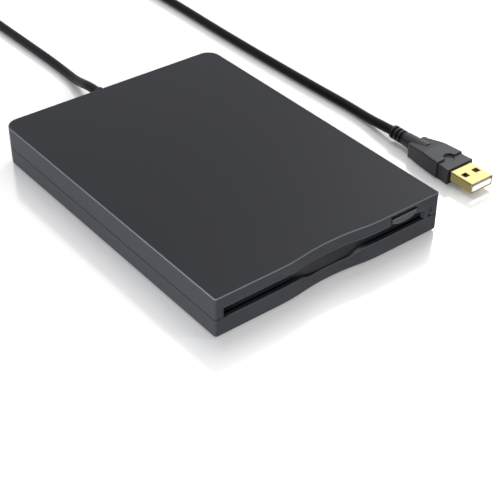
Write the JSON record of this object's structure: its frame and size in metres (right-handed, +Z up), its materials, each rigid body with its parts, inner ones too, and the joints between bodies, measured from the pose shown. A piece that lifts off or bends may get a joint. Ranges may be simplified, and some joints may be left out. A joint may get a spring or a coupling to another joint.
{
  "type": "external floppy disk drive",
  "caption": "Flat rectangular external disk drive with a flap-covered slot, eject button, lamp window and a fixed USB lead; the disk mechanism inside moves.",
  "frame": {"origin": "middle of the case's footprint, on the surface that its feet stand on", "axes": "+Z up, -Y out of the disk slot at the front, +X to the right seen from the front, where the eject button is"},
  "size_m": [0.1447, 0.3392, 0.0174],
  "materials": {
    "charcoal_plastic": "finely textured, satin",
    "dark_plastic": "satin",
    "button_plastic": "satin",
    "rubber": "matt",
    "screw_steel": "zinc plated",
    "lens": "smoked, polished",
    "led": "moulded",
    "sheet_steel": "galvanised sheet",
    "bright_steel": "ground",
    "spring_steel": "spring wire",
    "motor_steel": "plated",
    "bearing_brass": "sintered",
    "copper_wire": "enamelled",
    "board": "solder resist",
    "black_parts": "moulded",
    "socket_plastic": "moulded",
    "plunger_plastic": "moulded",
    "ceramic": "polished ceramic",
    "flex": "polyimide film",
    "wires": "insulated",
    "cord": "satin",
    "plug_plastic": "satin",
    "gold": "polished gold plate",
    "white_plastic": "moulded"
  },
  "bodies": {
    "case": {"bottom_cover": "charcoal_plastic", "top_cover": "charcoal_plastic", "feet": "rubber", "case_screws": "screw_steel", "chassis_screws": "screw_steel", "led_lens": "lens", "led": "led", "chassis": "sheet_steel", "mechanism_screws": "screw_steel", "board_screws": "screw_steel", "top_shield": "sheet_steel", "spindle_board": "board", "spindle_bearing": "bearing_brass", "stator_core": "motor_steel", "stator_coils": "copper_wire", "guide_rod": "bright_steel", "rod_clamps": "sheet_steel", "stepper_motor": "motor_steel", "motor_bracket": "sheet_steel", "screw_bearing": "sheet_steel", "main_board": "board", "board_chips": "black_parts", "usb_board": "board", "board_sockets": "socket_plastic", "inner_leads": "wires", "flat_cable": "flex", "front_board": "board", "detector_switches": "black_parts", "door_spring": "spring_steel", "slider_springs": "spring_steel", "cord_gland": "cord", "cord_lead": "cord", "cord_coil": "cord", "cord_tail": "cord", "plug_strain_relief": "cord", "plug_overmould": "plug_plastic", "usb_shell": "gold", "usb_insert": "white_plastic"},
    "door": {"slot_door": "dark_plastic"},
    "slider": {"eject_button": "button_plastic", "eject_slider": "sheet_steel"},
    "cradle": {"disk_cradle": "sheet_steel", "lever_spring": "spring_steel"},
    "lever": {"shutter_lever": "sheet_steel"},
    "carriage": {"head_carriage": "black_parts", "carriage_needle": "bright_steel", "head_hinge_pin": "bright_steel", "lower_head": "ceramic", "head_spring": "spring_steel", "head_flex": "flex"},
    "arm": {"head_arm": "black_parts", "upper_head": "ceramic"},
    "screw": {"lead_screw": "bright_steel"},
    "spindle": {"rotor_cup": "bright_steel", "disk_table": "bright_steel", "rotor_magnet": "motor_steel"},
    "drive_pin": {"drive_pin": "bright_steel"},
    "disk_plunger": {"plunger_disk_in": "plunger_plastic"},
    "protect_plunger": {"plunger_protect": "plunger_plastic"},
    "density_plunger": {"plunger_density": "plunger_plastic"}
  },
  "joints": [
    {"name": "door_swing", "type": "hinge", "parent": "case", "child": "door", "pos_m": [0, -0.0684, 0.0132], "axis": [1, 0, 0], "range_deg": [0, 90], "stiffness_Nm_per_rad": 0.0002, "springref_deg": -17.19, "deforming": ["door_spring"]},
    {"name": "eject_slide", "type": "slide", "parent": "case", "child": "slider", "axis": [0, -1, 0], "range_m": [0, 0.005], "deforming": ["slider_springs"]},
    {"name": "cradle_lift", "type": "slide", "parent": "case", "child": "cradle", "axis": [0, 0, -1], "range_m": [0, 0.0024]},
    {"name": "lever_swing", "type": "hinge", "parent": "cradle", "child": "lever", "pos_m": [-0.033, 0.0305, 0.0129], "axis": [0, 0, 1], "range_deg": [0, 40], "stiffness_Nm_per_rad": 0.001, "springref_deg": -17.19, "deforming": ["lever_spring"]},
    {"name": "carriage_step", "type": "slide", "parent": "case", "child": "carriage", "axis": [0, -1, 0], "range_m": [0, 0.01481], "deforming": ["head_flex"]},
    {"name": "head_arm_lift", "type": "hinge", "parent": "carriage", "child": "arm", "pos_m": [0, 0.0454, 0.0126], "axis": [1, 0, 0], "range_deg": [0, 9.7], "deforming": ["head_spring"]},
    {"name": "screw_spin", "type": "hinge", "parent": "case", "child": "screw", "pos_m": [0.014, 0.04, 0.0084], "axis": [0, -1, 0], "range_deg": [0, 1422.5]},
    {"name": "spindle_spin", "type": "hinge", "parent": "case", "child": "spindle", "pos_m": [0, -0.021, 0.006], "axis": [0, 0, 1], "continuous": true},
    {"name": "drive_pin_press", "type": "slide", "parent": "spindle", "child": "drive_pin", "axis": [0, 0, -1], "range_m": [0, 0.0004], "stiffness_N_per_m": 200, "springref_m": -0.0003},
    {"name": "disk_switch_press", "type": "slide", "parent": "case", "child": "disk_plunger", "axis": [0, 0, -1], "range_m": [0, 0.0008], "stiffness_N_per_m": 250, "springref_m": -0.0004},
    {"name": "protect_switch_press", "type": "slide", "parent": "case", "child": "protect_plunger", "axis": [0, 0, -1], "range_m": [0, 0.0008], "stiffness_N_per_m": 250, "springref_m": -0.0004},
    {"name": "density_switch_press", "type": "slide", "parent": "case", "child": "density_plunger", "axis": [0, 0, -1], "range_m": [0, 0.0008], "stiffness_N_per_m": 250, "springref_m": -0.0004}
  ],
  "couplings": [
    {"joint": "cradle_lift", "follows": "eject_slide", "ratio": 0.48},
    {"joint": "head_arm_lift", "follows": "eject_slide", "rad_per_m": 33.8},
    {"joint": "screw_spin", "follows": "carriage_step", "rad_per_m": 1675.5}
  ]
}
